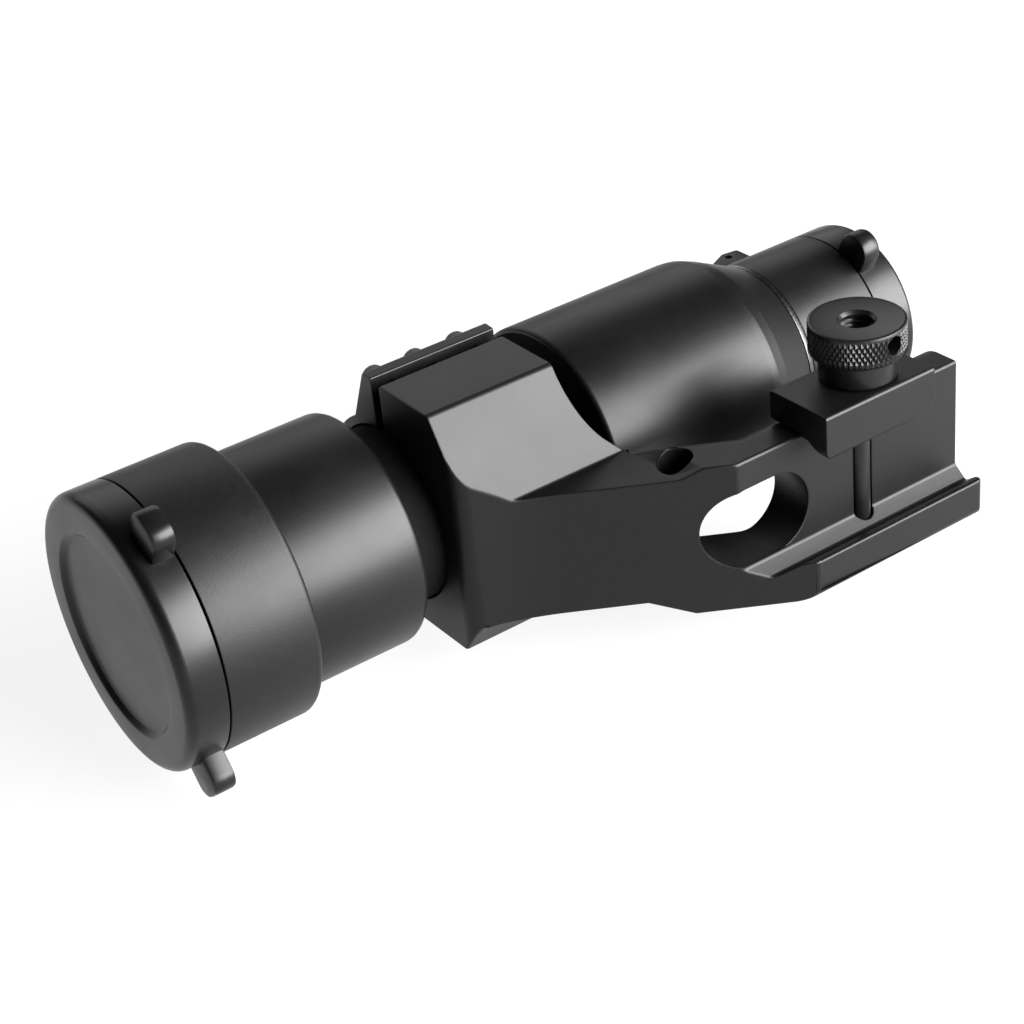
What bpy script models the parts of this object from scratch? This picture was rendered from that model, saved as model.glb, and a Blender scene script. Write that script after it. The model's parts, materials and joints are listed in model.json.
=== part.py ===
"""Finder scope on a cantilever clamp mount for a 20 mm accessory rail.

The scope's optical axis runs along X, with the eyepiece at +X. The mount's rail seat
is the plane Y = 0 and faces -Y, and the clamp bolt runs along Z. The origin lies on
the rail seat, in the scope's centre plane. Sizes are in millimetres and are turned
into metres where the meshes are made.
"""
import math

import bmesh
import bpy
from mathutils import Matrix, Vector

MM = 0.001
GAP = 0.3                   # clearance between pieces that touch
SEGMENTS = 40               # sides of the housings
FINE = 20                   # sides of the small turned pieces
TINY = 12                   # sides of screws and pins
ROUND_STEPS = 4             # points on a rounded corner

# Scope: stations along X and radii about the optical axis
AXIS_Y = 42.3
BELL_R = 23.4
BARREL_R = 20.2
NECK_R = 15.2
BODY_R = 20.9
REAR_R = 16.1
CAP_FRONT_X = -113.3
CAP_SEAM_X = -106.2
BELL_END_X = -89.6
BARREL_END_X = -67.7
BODY_FRONT_X = -30.2
BODY_REAR_X = 6.6
EDGE_R = 20.45              # where the body's rounded rear edge meets the taper
TAPER_END_X = 15.6
TAPER_END_R = 16.45
REAR_FRONT_X = 16.9
REAR_SEAM_X = 33.4
REAR_CAP_END_X = 41.2
SPIGOT_R = 21.6             # the bell's mouth, which the front cap grips
EYE_SPIGOT_R = 14.5         # the eyepiece's mouth, which the rear cap grips
WALL = 2.0
OBJECTIVE_R = 20.0
EYE_LENS_R = 12.4
FRONT_EARS = (61.0, -49.5)  # angles of a cap's pull ears, from the rail side towards +Z
REAR_EARS = (64.0, -49.5)

# Mount: the ring block, the arm and the rail clamp
BLOCK_X = (-61.6, -37.4)
BLOCK_TOP_Z = 24.0
BLOCK_LOW_Z = -18.6
SPLIT_Y = 41.5              # the block's face under the ring's strap
FACET_Y = (18.4, 27.5)      # the slanted facet runs between these two points
FACET_Z = (9.0, 24.0)
ARM_Z = (-13.5, 9.0)
BASE_Z = (-16.6, 10.7)
BASE_END_X = 25.0
BASE_BACK_Y = 8.5
SLOPE = 0.62                # fall of the arm towards the rail, per millimetre of X
ARM_FOOT_X = -23.0          # where the arm's underside meets the seat plane
BEND_X = -52.0              # where the underside flattens under the block
BEND_SLOPE = 0.38
SEAT_LOW_Z = -9.2
LIP_OUT_Y = -6.6
LIP_CREST = (-4.9, -9.6)
BORE_R = 15.5

# Clamp: jaw, bolt and knurled nut on one axis
CLAMP_X = 3.5
CLAMP_Y = 0.9
JAW_X = (-10.0, 13.5)
JAW_Y = (-6.4, 7.0)
JAW_TOP_Z = 16.2
JAW_TIP_Z = 8.6
NUT_TOP_Z = 26.2
NUT_HEAD = 5.5
NUT_R = 8.0
HUB_R = 6.4
BOLT_R = 1.8
THREAD_R = 2.6
BOLT_TOP_Z = 21.5
CROSS_HOLE_R = 1.6
CROSS_HOLE_Z = 23.8
CROSS_HOLE_ANGLE = -84.0    # from +X, about the nut's axis

# Ring screws
SCREW_X = (-57.9, -49.9, -41.6)
SCREW_Z = 21.1
SCREW_SEAT_Y = 45.9
SCREW_R = 1.3
SCREW_HEAD_R = 2.3
SCREW_HEAD = 3.8
SCREW_TIP_Y = 31.0
STRAP_R = 17.8              # outside of the ring's strap, which is thicker at its hooked end
STRAP_Z = -0.8              # centre of the strap's outside
SPLIT_GAP = 2.0             # open slot under the strap's flange
TONGUE_Y = 39.4
TONGUE_Z = (-17.6, -16.8)

# Adjusters
TURRET_X = 25.3
BOSS_TOP = 18.9             # height of an adjuster's boss above the optical axis
BOSS_END = 10.0

# Frames that turn a flat outline's own x, y and z into the object's
FLAT_XY = Matrix.Identity(4)
FLAT_YZ = Matrix(((0, 0, 1, 0), (1, 0, 0, 0), (0, 1, 0, 0), (0, 0, 0, 1)))
FLAT_XZ = Matrix(((1, 0, 0, 0), (0, 0, -1, 0), (0, 1, 0, 0), (0, 0, 0, 1)))
ALONG_X = Matrix.Translation((0, AXIS_Y * MM, 0)) @ Matrix.Rotation(math.pi / 2, 4, 'Y')
CLAMP_AXIS = Matrix.Translation((CLAMP_X * MM, CLAMP_Y * MM, 0))
# A turret's own +Z points away from the optical axis
TURRETS = {
    'elevation': Matrix.Translation((TURRET_X * MM, AXIS_Y * MM, 0)) @ Matrix.Rotation(-math.pi / 2, 4, 'X'),
    'windage': Matrix.Translation((TURRET_X * MM, AXIS_Y * MM, 0)) @ Matrix.Rotation(math.pi, 4, 'X'),
}


for old in list(bpy.data.objects):
    bpy.data.objects.remove(old, do_unlink=True)
parts = bpy.data.collections.new('finder_scope')
cutters = bpy.data.collections.new('cutters')
bpy.context.scene.collection.children.link(parts)
bpy.context.scene.collection.children.link(cutters)


def material(name, colour, roughness, metallic, transmission=0.0):
    """A Principled BSDF material."""
    made = bpy.data.materials.new(name)
    made.use_nodes = True
    shader = made.node_tree.nodes['Principled BSDF']
    shader.inputs['Base Color'].default_value = (*colour, 1.0)
    shader.inputs['Roughness'].default_value = roughness
    shader.inputs['Metallic'].default_value = metallic
    shader.inputs['Transmission Weight'].default_value = transmission
    return made


ANODISED = material('black_anodised', (0.022, 0.022, 0.023), 0.42, 0.6)
CAP_RUBBER = material('cap_rubber', (0.02, 0.02, 0.02), 0.55, 0.0)
BLACK_STEEL = material('black_steel', (0.03, 0.03, 0.03), 0.32, 0.9)
MATT_BLACK = material('matt_black', (0.01, 0.01, 0.01), 0.9, 0.0)
GLASS = material('optical_glass', (0.86, 0.93, 0.95), 0.03, 0.0, 1.0)
SPRING_STEEL = material('spring_steel', (0.5, 0.5, 0.5), 0.3, 1.0)
BRASS = material('brass', (0.66, 0.48, 0.2), 0.3, 1.0)
SEAL = material('seal_rubber', (0.015, 0.015, 0.015), 0.7, 0.0)


def place(name, data, matrix, paint):
    """Link a new object; one with no material is a cutter, which isn't part of the object."""
    made = bpy.data.objects.new(name, data)
    made.matrix_world = matrix
    if paint is None:
        cutters.objects.link(made)
        made.hide_render = True
        made.display_type = 'WIRE'
    else:
        parts.objects.link(made)
        data.materials.clear()
        data.materials.append(paint)
    return made


def arc(centre, radius, start, end, steps):
    """Points on an arc, with its angles in degrees."""
    angles = [math.radians(start + (end - start) * i / steps) for i in range(steps + 1)]
    return [(centre[0] + radius * math.cos(a), centre[1] + radius * math.sin(a)) for a in angles]


def rounded(corners, steps=ROUND_STEPS):
    """A closed outline from corners (x, y) or (x, y, radius), with its corners rounded."""
    outline = []
    count = len(corners)
    for i, corner in enumerate(corners):
        here = Vector(corner[:2])
        radius = corner[2] if len(corner) > 2 else 0.0
        if not radius:
            outline.append(tuple(here))
            continue
        back = (Vector(corners[i - 1][:2]) - here).normalized()
        ahead = (Vector(corners[(i + 1) % count][:2]) - here).normalized()
        half = back.angle(ahead) / 2
        centre = here + (back + ahead).normalized() * radius / math.sin(half)
        first = here + back * radius / math.tan(half) - centre
        turn = first.angle_signed(here + ahead * radius / math.tan(half) - centre)
        for k in range(steps + 1):
            outline.append(tuple(centre + Matrix.Rotation(-turn * k / steps, 2) @ first))
    return outline


def turned(name, outer, inner, frame, paint, segments=FINE, angle=0.0):
    """A turned piece. Both sides are (along, radius) points in the order of the axis.

    Without an inner side the piece is solid, and its outer side starts and ends on the axis.
    """
    profile = list(reversed(outer)) + list(inner)
    mesh = bpy.data.meshes.new(name)
    edges = [(i, i + 1) for i in range(len(profile) - 1)]
    if inner:
        edges.append((len(profile) - 1, 0))
    mesh.from_pydata([(r * MM, 0, along * MM) for along, r in profile], edges, [])
    made = place(name, mesh, frame @ Matrix.Rotation(math.radians(angle), 4, 'Z'), paint)
    screw = made.modifiers.new('turn', 'SCREW')
    screw.steps = segments
    screw.render_steps = segments
    screw.use_merge_vertices = True
    screw.merge_threshold = 0.00001
    screw.use_smooth_shade = False
    return made


def pin(name, low, high, radius, frame, paint, segments=TINY, angle=0.0):
    """A plain cylinder on a frame's Z axis."""
    outer = [(low, 0), (low, radius), (high, radius), (high, 0)]
    return turned(name, outer, [], frame, paint, segments, angle)


def plate(name, outline, low, high, frame, paint):
    """A flat outline with a thickness from low to high along the frame's Z axis."""
    curve = bpy.data.curves.new(name, 'CURVE')
    curve.dimensions = '2D'
    curve.fill_mode = 'BOTH'
    curve.extrude = (high - low) / 2 * MM
    spline = curve.splines.new('POLY')
    spline.points.add(len(outline) - 1)
    for point, (x, y) in zip(spline.points, outline):
        point.co = (x * MM, y * MM, 0, 1)
    spline.use_cyclic_u = True
    return as_mesh(name, curve, frame @ Matrix.Translation((0, 0, (low + high) / 2 * MM)), paint)


def closed_mesh(name, points, faces):
    """A mesh from points and faces, with its faces turned outwards."""
    mesh = bpy.data.meshes.new(name)
    mesh.from_pydata(points, [], faces)
    work = bmesh.new()
    work.from_mesh(mesh)
    bmesh.ops.recalc_face_normals(work, faces=work.faces)
    work.to_mesh(mesh)
    work.free()
    return mesh


def as_mesh(name, curve, matrix, paint):
    """Turn a curve into a closed mesh object."""
    source = bpy.data.objects.new(name + '_curve', curve)
    parts.objects.link(source)
    bpy.context.view_layer.update()
    mesh = bpy.data.meshes.new_from_object(source.evaluated_get(bpy.context.evaluated_depsgraph_get()))
    bpy.data.objects.remove(source, do_unlink=True)
    work = bmesh.new()
    work.from_mesh(mesh)
    bmesh.ops.remove_doubles(work, verts=work.verts, dist=0.000001)
    bmesh.ops.recalc_face_normals(work, faces=work.faces)
    work.to_mesh(mesh)
    work.free()
    return place(name, mesh, matrix, paint)


def combine(target, tool, operation='DIFFERENCE'):
    """Cut a piece with a tool, or join the tool to it."""
    step = target.modifiers.new(tool.name, 'BOOLEAN')
    step.operation = operation
    step.object = tool
    step.solver = 'EXACT'


def smooth(made, degrees=30):
    """Smooth shading that keeps the edges sharper than an angle."""
    made.data.shade_smooth()
    made.data.set_sharp_from_angle(angle=math.radians(degrees))


# ---------------------------------------------------------------- mount

def facet_y(z):
    """Y of the slanted facet at a height above or below the centre plane."""
    share = (abs(z) - FACET_Z[0]) / (FACET_Z[1] - FACET_Z[0])
    return FACET_Y[0] + share * (FACET_Y[1] - FACET_Y[0])


def facet_side(sign):
    """A tool that fills the rail side of the slanted facet, above or below the centre plane."""
    far = 30
    outline = [(-40, 0), (facet_y(0), 0), (facet_y(far), sign * far), (-40, sign * far)]
    return plate('facet_side', outline, -80, 0, FLAT_YZ, None)


def mount_side():
    """The mount seen along Z: ring block, slanted arm and rail base."""
    lip_x = ARM_FOOT_X - LIP_OUT_Y / SLOPE
    hollow_x, hollow_y, hollow_r = -28.6, 27.3, 8.8
    tangent = 180 + math.degrees(math.atan2(1, SLOPE))
    hollow = arc((hollow_x, hollow_y), hollow_r, 180, tangent, 8)
    last_x, last_y = hollow[-1]
    back_x = last_x + (last_y - BASE_BACK_Y) / SLOPE
    front = BLOCK_X[0]
    bend_y = -SLOPE * (BEND_X - ARM_FOOT_X)
    low_part = rounded([
        (back_x, BASE_BACK_Y, 6.0), (BASE_END_X, BASE_BACK_Y, 1.5), (BASE_END_X, LIP_OUT_Y, 1.5),
        (lip_x, LIP_OUT_Y, 2.0), (BEND_X, bend_y),
        (front, bend_y - BEND_SLOPE * (front - BEND_X), 3.5), (front, SPLIT_Y),
        (hollow_x - hollow_r, SPLIT_Y), (last_x, last_y)])
    return low_part[:-1] + hollow


def mount_end():
    """The mount seen along X: a faceted block above a narrower arm, with the clamp's fixed lip."""
    top, bottom = BASE_Z[1], BASE_Z[0]
    return rounded([
        (LIP_OUT_Y, bottom, 2.2), (facet_y(bottom), bottom), (facet_y(BLOCK_LOW_Z), BLOCK_LOW_Z, 1.0),
        (SPLIT_Y, BLOCK_LOW_Z), (SPLIT_Y, BLOCK_TOP_Z), (FACET_Y[1], BLOCK_TOP_Z, 1.2),
        (facet_y(top), top), (0, top, 0.6), (0, SEAT_LOW_Z), (-2.5, -11.3, 0.7),
        (*LIP_CREST, 0.5), (LIP_OUT_Y, LIP_CREST[1] + 0.4, 0.5)], 3)


def screw_frame(x):
    """The frame of one ring screw, whose own Z axis points away from the rail."""
    return Matrix.Translation((x * MM, 0, SCREW_Z * MM)) @ Matrix.Rotation(-math.pi / 2, 4, 'X')


def cantilever_mount():
    """Ring block, arm and rail base in one piece."""
    made = plate('cantilever_mount', mount_side(), -BLOCK_TOP_Z - 1, BLOCK_TOP_Z + 1, FLAT_XY, ANODISED)
    combine(made, plate('mount_envelope', mount_end(), -70, 30, FLAT_YZ, None), 'INTERSECT')
    combine(made, pin('ring_bore', -70, -30, BORE_R, ALONG_X, None, SEGMENTS))
    # The arm is narrower than the base, with a ramp between the two on each side
    narrow_top = [(-70, ARM_Z[1]), (-30.6, ARM_Z[1]), (-27.4, BASE_Z[1]), (-27.4, 14), (-70, 14)]
    tool = plate('arm_top_cut', narrow_top, -FACET_Y[1], 10, FLAT_XZ, None)
    combine(tool, facet_side(1), 'INTERSECT')
    combine(made, tool)
    narrow_low = [(-70, ARM_Z[0]), (-70, -20), (-29.5, -20), (-29.5, BASE_Z[0]), (-36.0, ARM_Z[0])]
    tool = plate('arm_low_cut', narrow_low, -FACET_Y[1], 10, FLAT_XZ, None)
    combine(tool, facet_side(-1), 'INTERSECT')
    combine(made, tool)
    # Oval window through the arm, and a blind cross hole beside it
    window = rounded([(-28.4, -8.8, 7.0), (-8.5, -8.8, 7.0), (-8.5, 5.3, 7.0), (-28.4, 5.3, 7.0)], 6)
    combine(made, plate('arm_window', window, -30, 12, FLAT_XZ, None))
    cross = Matrix.Translation((-28.2 * MM, 9.0 * MM, 0))
    combine(made, pin('cross_hole', 5.8, 14, 2.8, cross, None, FINE))
    # Groove for the clamp bolt, with a pocket for its head
    combine(made, pin('bolt_groove', -20, 14, BOLT_R + GAP, CLAMP_AXIS, None, FINE))
    combine(made, pin('bolt_head_pocket', -20, -13.3, 4.1, CLAMP_AXIS, None, FINE))
    for x in SCREW_X:
        combine(made, pin('block_screw_hole', SCREW_TIP_Y - GAP, 50, SCREW_R + GAP, screw_frame(x), None))
    low_z, high_z = TONGUE_Z[0] - GAP, TONGUE_Z[1] + GAP
    groove = [(TONGUE_Y - GAP, low_z), (50, low_z), (50, high_z), (TONGUE_Y - GAP, high_z)]
    combine(made, plate('tongue_groove', groove, -70, -30, FLAT_YZ, None))
    return made


def ring_strap():
    """The ring's loose half: a tongue hooks into the block, and a tapered flange takes the screws."""
    low = SPLIT_Y + SPLIT_GAP
    hooked = SPLIT_Y + GAP
    crown = [(AXIS_Y + y, z) for z, y in arc((STRAP_Z, 0), STRAP_R, 27, 180, 20)]
    end = STRAP_Z - STRAP_R
    tongue = [(hooked, end), (hooked, TONGUE_Z[0]), (TONGUE_Y, TONGUE_Z[0]),
              (TONGUE_Y, TONGUE_Z[1]), (hooked, TONGUE_Z[1]), (hooked, 2 - BORE_R), (low, 2 - BORE_R)]
    flange = [(low, 23.4), (low + 0.8, 24.5), (low + 1.9, 24.7), (low + 2.8, 23.9)]
    made = plate('ring_strap', tongue + flange + crown, *BLOCK_X, FLAT_YZ, ANODISED)
    combine(made, pin('strap_bore', -70, -30, BORE_R, ALONG_X, None, SEGMENTS))
    stepped = [(40, 0), (40, SCREW_R + GAP), (SCREW_SEAT_Y, SCREW_R + GAP),
               (SCREW_SEAT_Y, SCREW_HEAD_R + GAP), (55, SCREW_HEAD_R + GAP), (55, 0)]
    for x in SCREW_X:
        combine(made, turned('strap_screw_hole', stepped, [], screw_frame(x), None, TINY))
    return made


def ring_screws():
    """Domed cap screws with hexagon sockets, along the flange."""
    seat = SCREW_SEAT_Y + GAP
    outer = [(SCREW_TIP_Y, 0), (SCREW_TIP_Y, SCREW_R), (seat, SCREW_R), (seat, SCREW_HEAD_R),
             (seat + SCREW_HEAD - 0.8, SCREW_HEAD_R), (seat + SCREW_HEAD, SCREW_HEAD_R - 0.7),
             (seat + SCREW_HEAD, 1.2), (seat + 1.3, 1.2), (seat + 1.3, 0)]
    for number, x in enumerate(SCREW_X, 1):
        turned(f'ring_screw_{number}', outer, [], screw_frame(x), BLACK_STEEL, TINY)


# ---------------------------------------------------------------- clamp

def clamp_bolt():
    """The cross bolt, whose shank also locks into the rail's slot."""
    outer = [(-16.4, 0), (-16.4, 3.5), (-13.8, 3.8), (-13.6, 3.8), (-13.6, BOLT_R),
             (BOLT_TOP_Z - 0.5, BOLT_R), (BOLT_TOP_Z, BOLT_R - 0.5), (BOLT_TOP_Z, 0)]
    return turned('clamp_bolt', outer, [], CLAMP_AXIS, BLACK_STEEL)


def clamp_jaw():
    """The moving jaw: a plate on the base's top face, with a hooked front edge."""
    low = BASE_Z[1] + GAP
    hook = rounded([
        (JAW_Y[0], JAW_TIP_Z, 0.8), (JAW_Y[0] + 1.7, JAW_TIP_Z - 0.3, 0.5), (-1.8, 10.4), (-GAP, 10.4),
        (-GAP, low), (JAW_Y[1], low), (JAW_Y[1], JAW_TOP_Z, 0.6), (JAW_Y[0], JAW_TOP_Z, 0.6)], 3)
    made = plate('clamp_jaw', hook, *JAW_X, FLAT_YZ, ANODISED)
    low_edge = JAW_TIP_Z - 0.3
    front = rounded([(JAW_X[0], low_edge, 1.6), (JAW_X[1], low_edge, 2.6),
                     (JAW_X[1], JAW_TOP_Z + 1), (JAW_X[0], JAW_TOP_Z + 1)])
    combine(made, plate('jaw_front', front, -20, 20, FLAT_XZ, None), 'INTERSECT')
    combine(made, pin('jaw_hole', 0, 30, BOLT_R + GAP, CLAMP_AXIS, None, FINE))
    return made


def clamp_nut():
    """The knurled thumb nut: a wide rim over a plain hub, with a cross hole for a bar."""
    base = JAW_TOP_Z + GAP
    rim = NUT_TOP_Z - NUT_HEAD
    outer = [(base, HUB_R), (rim, HUB_R), (rim, NUT_R - 0.3), (rim + 0.3, NUT_R),
             (NUT_TOP_Z - 0.5, NUT_R), (NUT_TOP_Z, NUT_R - 0.5)]
    inner = [(base, THREAD_R), (NUT_TOP_Z - 0.4, THREAD_R), (NUT_TOP_Z, THREAD_R + 0.4)]
    made = turned('clamp_nut', outer, inner, CLAMP_AXIS, BLACK_STEEL, SEGMENTS)
    height = Matrix.Translation((0, 0, CROSS_HOLE_Z * MM))
    across = Matrix.Rotation(math.radians(CROSS_HOLE_ANGLE), 4, 'Z') @ Matrix.Rotation(math.pi / 2, 4, 'Y')
    combine(made, pin('nut_cross_hole', 4.2, 9, CROSS_HOLE_R, CLAMP_AXIS @ height @ across, None))
    return made


# ---------------------------------------------------------------- housings

def objective_bell():
    """The wide front housing, with a mouth that the front cap pushes onto."""
    outer = [(-110.9, SPIGOT_R - 0.4), (-110.5, SPIGOT_R), (CAP_SEAM_X + 0.1, SPIGOT_R),
             (CAP_SEAM_X + 0.1, BELL_R)]
    outer += [(x, r) for x, r in arc((BELL_END_X - 1.2, BELL_R - 1.2), 1.2, 90, 0, 3)]
    inner = [(-110.9, OBJECTIVE_R + GAP), (-96.6, OBJECTIVE_R + GAP), (-96.6, 19.0), (BELL_END_X, 19.0)]
    return turned('objective_bell', outer, inner, ALONG_X, ANODISED, SEGMENTS)


def front_barrel():
    """The barrel between the bell and the ring, screwed into the bell."""
    outer = [(-95.0, 18.7), (BELL_END_X + GAP, 18.7), (BELL_END_X + GAP, BARREL_R)]
    outer += [(x, r) for x, r in arc((BARREL_END_X - 1.8, BARREL_R - 1.8), 1.8, 90, 0, 4)]
    inner = [(-95.0, 17.0), (-70.6, 17.0), (-70.6, BORE_R), (BARREL_END_X, BORE_R)]
    return turned('front_barrel', outer, inner, ALONG_X, ANODISED, SEGMENTS)


def main_tube():
    """The neck that the ring grips and the wide prism housing behind it."""
    outer = [(-74.0, NECK_R), (BODY_FRONT_X, NECK_R)]
    outer += [(x, r) for x, r in arc((BODY_FRONT_X + 0.8, BODY_R - 0.8), 0.8, 180, 90, 3)]
    outer += [(BODY_REAR_X - 2.2, BODY_R), (BODY_REAR_X - 1.0, BODY_R - 0.15), (BODY_REAR_X, EDGE_R)]
    inner = [(-74.0, 13.2), (-27.2, 13.2), (-27.2, BODY_R - WALL), (BODY_REAR_X, BODY_R - WALL)]
    return turned('main_tube', outer, inner, ALONG_X, ANODISED, SEGMENTS)


def taper_adapter():
    """The tapered piece that closes the main tube and carries the eyepiece housing."""
    start = BODY_REAR_X + GAP
    outer = [(1.5, BODY_R - WALL - GAP), (start, BODY_R - WALL - GAP), (start, EDGE_R - 0.1),
             (start + 1.1, 19.93), (TAPER_END_X, TAPER_END_R)]
    inner = [(1.5, 16.8), (start + 0.5, 16.8), (10.5, EYE_SPIGOT_R), (TAPER_END_X, EYE_SPIGOT_R)]
    return turned('taper_adapter', outer, inner, ALONG_X, ANODISED, SEGMENTS)


def joint_ring():
    """The thin lock ring between the taper and the eyepiece housing."""
    low, high = TAPER_END_X + GAP, REAR_FRONT_X - GAP
    return turned('joint_ring', [(low, TAPER_END_R), (high, REAR_R + 0.1)],
                  [(low, EYE_SPIGOT_R), (high, EYE_SPIGOT_R)], ALONG_X, BLACK_STEEL, SEGMENTS)


def eyepiece_housing():
    """The rear barrel, which holds the eyepiece and the two adjusters."""
    outer = [(11.5, EYE_SPIGOT_R - GAP), (REAR_FRONT_X, EYE_SPIGOT_R - GAP), (REAR_FRONT_X, REAR_R - 0.3),
             (REAR_FRONT_X + 0.3, REAR_R), (REAR_SEAM_X, REAR_R), (REAR_SEAM_X, EYE_SPIGOT_R),
             (39.4, EYE_SPIGOT_R), (39.8, EYE_SPIGOT_R - 0.4)]
    inner = [(11.5, EYE_LENS_R + GAP), (39.8, EYE_LENS_R + GAP)]
    made = turned('eyepiece_housing', outer, inner, ALONG_X, ANODISED, SEGMENTS)
    for name, frame in TURRETS.items():
        combine(made, pin(name + '_port', 10, 20, 3.0, frame, None, TINY))
    return made


def ear(name, angle, low_r, high_r, width, corner, low, high):
    """A rounded pull ear that stands out from a cap, made as a tool that is joined to it."""
    outline = rounded([(low_r, -width / 2), (high_r, -width / 2, corner),
                       (high_r, width / 2, corner), (low_r, width / 2)])
    turn = Matrix.Rotation(math.radians(180 - angle), 4, 'Z')
    return plate(name, outline, low, high, Matrix.Translation((0, AXIS_Y * MM, 0)) @ FLAT_YZ @ turn, None)


def front_cap():
    """The push-on lens cap: a cup with a sunk face and pull ears at its rim."""
    back = CAP_SEAM_X - GAP + 0.1
    face = [(CAP_FRONT_X + 0.9, 0), (CAP_FRONT_X + 0.9, 16.2), (CAP_FRONT_X, 17.1)]
    rim = arc((CAP_FRONT_X + 1.8, BELL_R - 1.8), 1.8, 180, 90, 4)
    inside = [(back, SPIGOT_R + GAP), (-111.3, SPIGOT_R + GAP), (-111.3, 0)]
    profile = face + rim + [(back, BELL_R)] + inside
    made = turned('front_cap', profile, [], ALONG_X, CAP_RUBBER, SEGMENTS)
    for i, angle in enumerate(FRONT_EARS):
        combine(made, ear(f'front_ear_{i}', angle, 22.7, 28.9, 7.2, 1.6, -110.4, back), 'UNION')
    return made


def rear_cap():
    """The push-on eyepiece cap, the same in a smaller size."""
    front = REAR_SEAM_X + GAP - 0.1
    inside = [(40.1, 0), (40.1, EYE_SPIGOT_R + GAP), (front, EYE_SPIGOT_R + GAP)]
    rim = arc((REAR_CAP_END_X - 1.0, REAR_R - 1.0), 1.0, 90, 0, 3)
    face = [(REAR_CAP_END_X, 11.6), (REAR_CAP_END_X - 0.4, 11.2), (REAR_CAP_END_X - 0.4, 0)]
    made = turned('rear_cap', inside + [(front, REAR_R)] + rim + face, [], ALONG_X, CAP_RUBBER, SEGMENTS)
    for i, angle in enumerate(REAR_EARS):
        combine(made, ear(f'rear_ear_{i}', angle, 15.4, 21.4, 6.6, 3.2, front, 37.4), 'UNION')
    return made


# ---------------------------------------------------------------- optics

def lens(name, radius, low, high, front_bulge, rear_bulge, steps=3):
    """A round lens whose rim runs from low to high; a bulge is how far a face stands out."""
    front = [(low - front_bulge * (1 - (i / steps) ** 2), radius * i / steps) for i in range(steps + 1)]
    rear = [(high + rear_bulge * (1 - (i / steps) ** 2), radius * i / steps) for i in range(steps, -1, -1)]
    return turned(name, front + rear, [], ALONG_X, GLASS)


def ring(name, inner_r, outer_r, low, high, paint):
    """A plain flat ring on the optical axis."""
    return turned(name, [(low, outer_r), (high, outer_r)], [(low, inner_r), (high, inner_r)], ALONG_X, paint)


def prism(name, outline, half_width):
    """A glass prism of the erecting pair, cut square across Z."""
    frame = Matrix.Translation((0, AXIS_Y * MM, 0))
    return plate(name, outline, -half_width, half_width, frame, GLASS)


def optics():
    """Lenses, prisms and the rings that hold them, from the front to the eye."""
    ring('objective_retaining_ring', 18.4, OBJECTIVE_R, -107.4, -105.0, MATT_BLACK)
    lens('objective_crown_lens', OBJECTIVE_R, -104.5, -102.6, 1.6, 1.4)
    ring('objective_spacer', 19.0, OBJECTIVE_R, -102.3, -100.4, MATT_BLACK)
    lens('objective_flint_lens', OBJECTIVE_R, -100.1, -97.0, -1.0, -0.6)
    ring('bell_seal_ring', 17.2, 18.6, -96.3, -95.3, SEAL)
    ring('barrel_baffle', 13.6, 16.7, -84.0, -82.8, MATT_BLACK)
    ring('neck_lock_ring', NECK_R + GAP, 16.7, -73.8, -70.9, BLACK_STEEL)
    ring('neck_baffle', 10.4, 12.9, -52.0, -50.8, MATT_BLACK)
    ring('prism_cage', 14.8, 18.5, -25.5, 1.1, MATT_BLACK)
    prism('prism_front', [(-20, -9), (-12, -9), (-3.5, 11.5), (-20, 3)], 7)
    prism('prism_rear', [(-11.4, -9), (-0.5, -9), (-0.5, 9), (-3.94, 9)], 7)
    ring('eyepiece_field_stop', 9.0, EYE_LENS_R, 30.2, 31.0, MATT_BLACK)
    lens('eyepiece_field_lens', EYE_LENS_R, 31.5, 32.8, 0.2, 1.4)
    ring('eyepiece_spacer', 11.4, EYE_LENS_R, 33.1, 34.6, MATT_BLACK)
    lens('eyepiece_eye_lens', EYE_LENS_R, 35.0, 36.6, 0.1, 1.4)
    ring('eyepiece_retaining_ring', 11.2, EYE_LENS_R, 36.9, 39.0, MATT_BLACK)


# ---------------------------------------------------------------- adjusters

def turret(name, frame):
    """One adjuster's boss, dial and screw cap, from the barrel outwards."""
    boss = [(-3.7, 8), (3.7, 8), (3.7, BOSS_TOP - 0.5, 0.6), (0.4, BOSS_TOP, 0.8), (-3.7, BOSS_TOP - 2.1, 0.5)]
    base = plate(name + '_turret_base', rounded(boss), -BOSS_END, BOSS_END, frame @ FLAT_XZ, ANODISED)
    combine(base, pin(name + '_neck', 16.0, 20.8, 3.4, frame, None, FINE), 'UNION')
    combine(base, pin(name + '_neck_bore', 5, 25, 2.9, frame, None, FINE))
    combine(base, pin(name + '_saddle', 0, 50, REAR_R + GAP, ALONG_X, None, SEGMENTS, 180 / SEGMENTS))
    lock = frame @ Matrix.Translation((0.5 * MM, 0, 17.0 * MM)) @ Matrix.Rotation(math.pi / 2, 4, 'X')
    combine(base, pin(name + '_lock_hole', 6, 12, 0.7, lock, None))
    dial = [(14.2, 2.6), (20.9, 2.6), (20.9, 3.5), (21.8, 3.5), (21.8, 0.4), (21.5, 0)]
    bore = [(14.2, 1.8), (19.0, 1.8), (19.0, 0)]
    turned(name + '_dial', bore[::-1] + dial, [], frame, BRASS)
    cup = [(22.1, 0), (22.1, 4.2), (19.3, 4.2), (19.3, 4.9), (22.6, 4.9), (23.0, 4.5), (23.0, 0)]
    turned(name + '_turret_cap', cup, [], frame, ANODISED)


def plungers():
    """The two screws' tips: one pushes the carrier, the other reaches the cell inside it."""
    pin('elevation_plunger', 9.6, 18.0, 1.4, TURRETS['elevation'], BLACK_STEEL)
    pin('windage_plunger', 7.5, 18.0, 1.4, TURRETS['windage'], BLACK_STEEL)


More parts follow.
